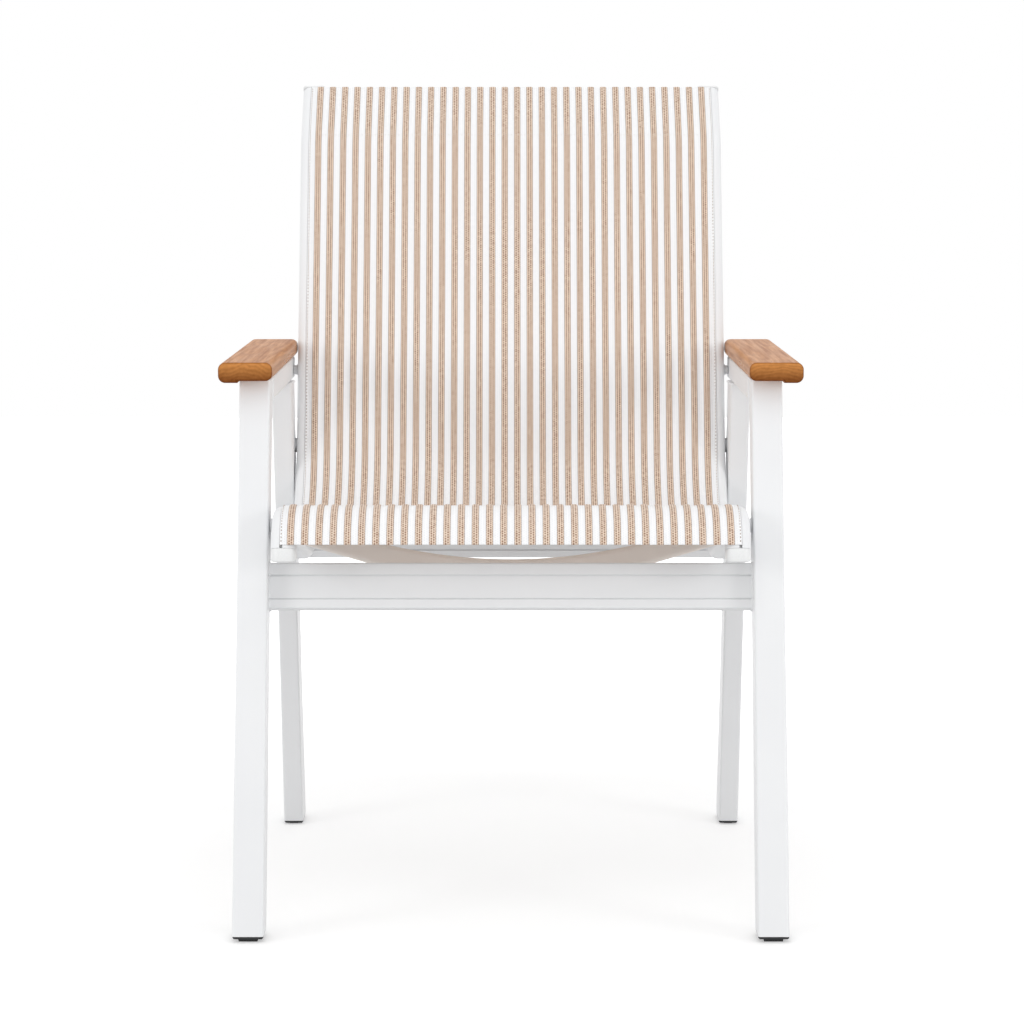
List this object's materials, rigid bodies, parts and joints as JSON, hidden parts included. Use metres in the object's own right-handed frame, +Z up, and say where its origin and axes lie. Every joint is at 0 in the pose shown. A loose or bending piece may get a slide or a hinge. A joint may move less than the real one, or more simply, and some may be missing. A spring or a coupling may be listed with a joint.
{
  "type": "sling patio chair",
  "caption": "Patio dining chair with a striped fabric sling between S-shaped side rails, a leaning tube frame and wooden armrests.",
  "frame": {"origin": "on the floor, under the middle of the chair's bounding box", "axes": "+Z up, -Y the way the sitter faces, +X to the sitter's left"},
  "size_m": [0.61, 0.6756, 0.8794],
  "materials": {
    "powder_coat": "satin white powder coat on aluminium tube and extrusion",
    "white_nylon": "moulded white nylon, lightly textured",
    "black_nylon": "moulded black nylon, matt",
    "sling_fabric": "woven vinyl-coated polyester in tan and white stripes",
    "teak": "sanded, oiled teak with fine straight grain",
    "stainless_steel": "plain stainless fasteners"
  },
  "bodies": {
    "root": {"front_leg_left": "powder_coat", "front_leg_right": "powder_coat", "rear_leg_left": "powder_coat", "rear_leg_right": "powder_coat", "arm_tube_left": "powder_coat", "arm_tube_right": "powder_coat", "front_apron": "powder_coat", "rear_apron": "powder_coat", "sling_rail_left": "powder_coat", "sling_rail_right": "powder_coat", "seat_spreader": "powder_coat", "lumbar_spreader": "powder_coat", "head_spreader": "powder_coat", "sling": "sling_fabric", "hem_rod_left": "white_nylon", "hem_rod_right": "white_nylon", "rail_cap_front_left": "white_nylon", "rail_cap_front_right": "white_nylon", "rail_cap_top_left": "white_nylon", "rail_cap_top_right": "white_nylon", "arm_tube_plug_left": "white_nylon", "arm_tube_plug_right": "white_nylon", "armrest_pad_left": "teak", "armrest_pad_right": "teak", "front_foot_glide_left": "black_nylon", "front_foot_glide_right": "black_nylon", "rear_foot_glide_left": "black_nylon", "rear_foot_glide_right": "black_nylon", "front_spacer_left": "powder_coat", "front_bolt_left": "stainless_steel", "front_nut_left": "stainless_steel", "front_spacer_right": "powder_coat", "front_bolt_right": "stainless_steel", "front_nut_right": "stainless_steel", "rear_spacer_left": "powder_coat", "rear_bolt_left": "stainless_steel", "rear_nut_left": "stainless_steel", "rear_spacer_right": "powder_coat", "rear_bolt_right": "stainless_steel", "rear_nut_right": "stainless_steel", "arm_spacer_left": "powder_coat", "arm_bolt_left": "stainless_steel", "arm_nut_left": "stainless_steel", "arm_spacer_right": "powder_coat", "arm_bolt_right": "stainless_steel", "arm_nut_right": "stainless_steel", "seat_spreader_screw_left": "stainless_steel", "seat_spreader_screw_right": "stainless_steel", "lumbar_spreader_screw_left": "stainless_steel", "lumbar_spreader_screw_right": "stainless_steel", "head_spreader_screw_left": "stainless_steel", "head_spreader_screw_right": "stainless_steel", "pad_screw_front_left": "stainless_steel", "pad_screw_front_right": "stainless_steel", "pad_screw_rear_left": "stainless_steel", "pad_screw_rear_right": "stainless_steel"}
  },
  "joints": []
}
